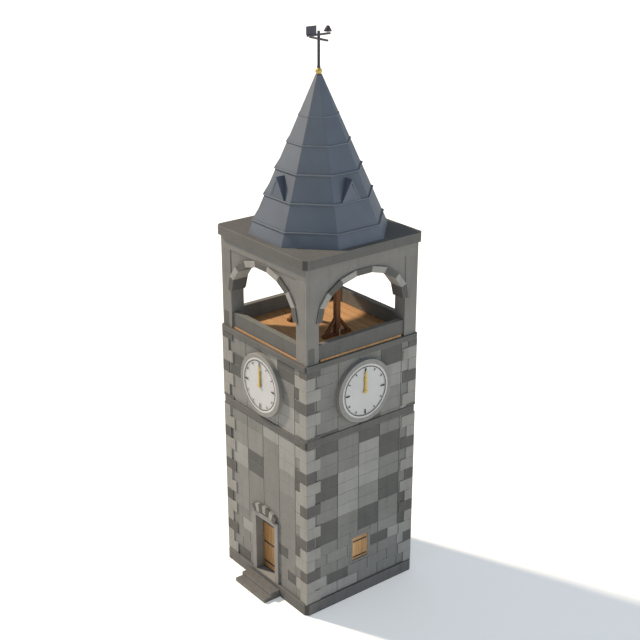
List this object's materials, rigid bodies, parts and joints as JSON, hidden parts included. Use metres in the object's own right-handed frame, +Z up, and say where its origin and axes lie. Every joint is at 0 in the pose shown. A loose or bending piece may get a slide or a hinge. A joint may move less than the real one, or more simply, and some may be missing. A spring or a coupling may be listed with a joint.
{
  "type": "clock tower",
  "caption": "Square stone clock tower with quoined corners, an open arched belfry, clock dials on every side and an octagonal metal-clad spire with a weather vane.",
  "frame": {"origin": "on the ground, under the middle of the square tower", "axes": "+Z up, -Y out of the door, +X out of the shuttered window"},
  "size_m": [4.806, 5.333, 18.384],
  "materials": {
    "wall_stone": "coursed grey building stone, tooled",
    "pale_stone": "pale grey dressed stone, rubbed",
    "dark_stone": "dark grey dressed stone, weathered",
    "flagstone": "worn stone flags",
    "floor_timber": "sawn softwood boards, unpainted",
    "door_timber": "oiled softwood boards with black iron straps",
    "dark_timber": "dark stained hardwood beams",
    "dial_enamel": "off-white enamelled dial with black marks",
    "gilt": "gilded metal, satin",
    "spire_cladding": "blue-grey sheet metal roof cladding, matt",
    "iron": "blue-black painted wrought iron",
    "bell_bronze": "cast bell bronze, browned"
  },
  "bodies": {
    "tower": {"plinth": "dark_stone", "door_steps": "dark_stone", "ground_floor": "flagstone", "front_wall_left": "wall_stone", "front_wall_right": "wall_stone", "front_wall_over_door": "wall_stone", "rear_wall": "wall_stone", "left_wall": "wall_stone", "right_wall": "wall_stone", "quoins": "pale_stone", "lower_string": "dark_stone", "belfry_string": "dark_stone", "door_surround": "pale_stone", "door_arch": "pale_stone", "door_frame": "dark_timber", "window_surround": "pale_stone", "window_shutter": "door_timber", "clock_surrounds": "pale_stone", "clock_dials": "dial_enamel", "belfry_floor": "floor_timber", "corner_piers": "wall_stone", "parapets": "wall_stone", "arch_rings": "pale_stone", "spandrels": "wall_stone", "frieze": "wall_stone", "bell_frame_left": "dark_timber", "bell_frame_right": "dark_timber", "headstock": "dark_timber", "bell": "bell_bronze", "cornice": "dark_stone", "spire_shell": "spire_cladding", "spire_bands": "spire_cladding", "spire_vents": "spire_cladding", "finial_ball": "gilt", "vane_rod": "iron"},
    "door": {"door_leaf": "door_timber"},
    "minute_front": {"minute_hand_front": "gilt"},
    "hour_front": {"hour_hand_front": "gilt"},
    "minute_right": {"minute_hand_right": "gilt"},
    "hour_right": {"hour_hand_right": "gilt"},
    "minute_rear": {"minute_hand_rear": "gilt"},
    "hour_rear": {"hour_hand_rear": "gilt"},
    "minute_left": {"minute_hand_left": "gilt"},
    "hour_left": {"hour_hand_left": "gilt"},
    "vane": {"vane_pointer": "iron"}
  },
  "joints": [
    {"name": "door_hinge", "type": "hinge", "parent": "tower", "child": "door", "pos_m": [-0.538, -1.874, 1.5], "axis": [0, 0, 1], "range_deg": [0, 100]},
    {"name": "minute_hand_front_turn", "type": "hinge", "parent": "tower", "child": "minute_front", "pos_m": [0, -2.345, 7.46], "axis": [0, 1, 0], "continuous": true},
    {"name": "hour_hand_front_turn", "type": "hinge", "parent": "tower", "child": "hour_front", "pos_m": [0, -2.345, 7.46], "axis": [0, 1, 0], "continuous": true},
    {"name": "minute_hand_right_turn", "type": "hinge", "parent": "tower", "child": "minute_right", "pos_m": [2.345, 0, 7.46], "axis": [-1, 0, 0], "continuous": true},
    {"name": "hour_hand_right_turn", "type": "hinge", "parent": "tower", "child": "hour_right", "pos_m": [2.345, 0, 7.46], "axis": [-1, 0, 0], "continuous": true},
    {"name": "minute_hand_rear_turn", "type": "hinge", "parent": "tower", "child": "minute_rear", "pos_m": [0, 2.345, 7.46], "axis": [0, -1, 0], "continuous": true},
    {"name": "hour_hand_rear_turn", "type": "hinge", "parent": "tower", "child": "hour_rear", "pos_m": [0, 2.345, 7.46], "axis": [0, -1, 0], "continuous": true},
    {"name": "minute_hand_left_turn", "type": "hinge", "parent": "tower", "child": "minute_left", "pos_m": [-2.345, 0, 7.46], "axis": [1, 0, 0], "continuous": true},
    {"name": "hour_hand_left_turn", "type": "hinge", "parent": "tower", "child": "hour_left", "pos_m": [-2.345, 0, 7.46], "axis": [1, 0, 0], "continuous": true},
    {"name": "vane_turn", "type": "hinge", "parent": "tower", "child": "vane", "pos_m": [0, 0, 18.11], "axis": [0, 0, 1], "continuous": true}
  ],
  "couplings": [
    {"joint": "hour_hand_front_turn", "follows": "minute_hand_front_turn", "ratio": 0.083333},
    {"joint": "minute_hand_right_turn", "follows": "minute_hand_front_turn", "ratio": 1},
    {"joint": "hour_hand_right_turn", "follows": "minute_hand_front_turn", "ratio": 0.083333},
    {"joint": "minute_hand_rear_turn", "follows": "minute_hand_front_turn", "ratio": 1},
    {"joint": "hour_hand_rear_turn", "follows": "minute_hand_front_turn", "ratio": 0.083333},
    {"joint": "minute_hand_left_turn", "follows": "minute_hand_front_turn", "ratio": 1},
    {"joint": "hour_hand_left_turn", "follows": "minute_hand_front_turn", "ratio": 0.083333}
  ]
}
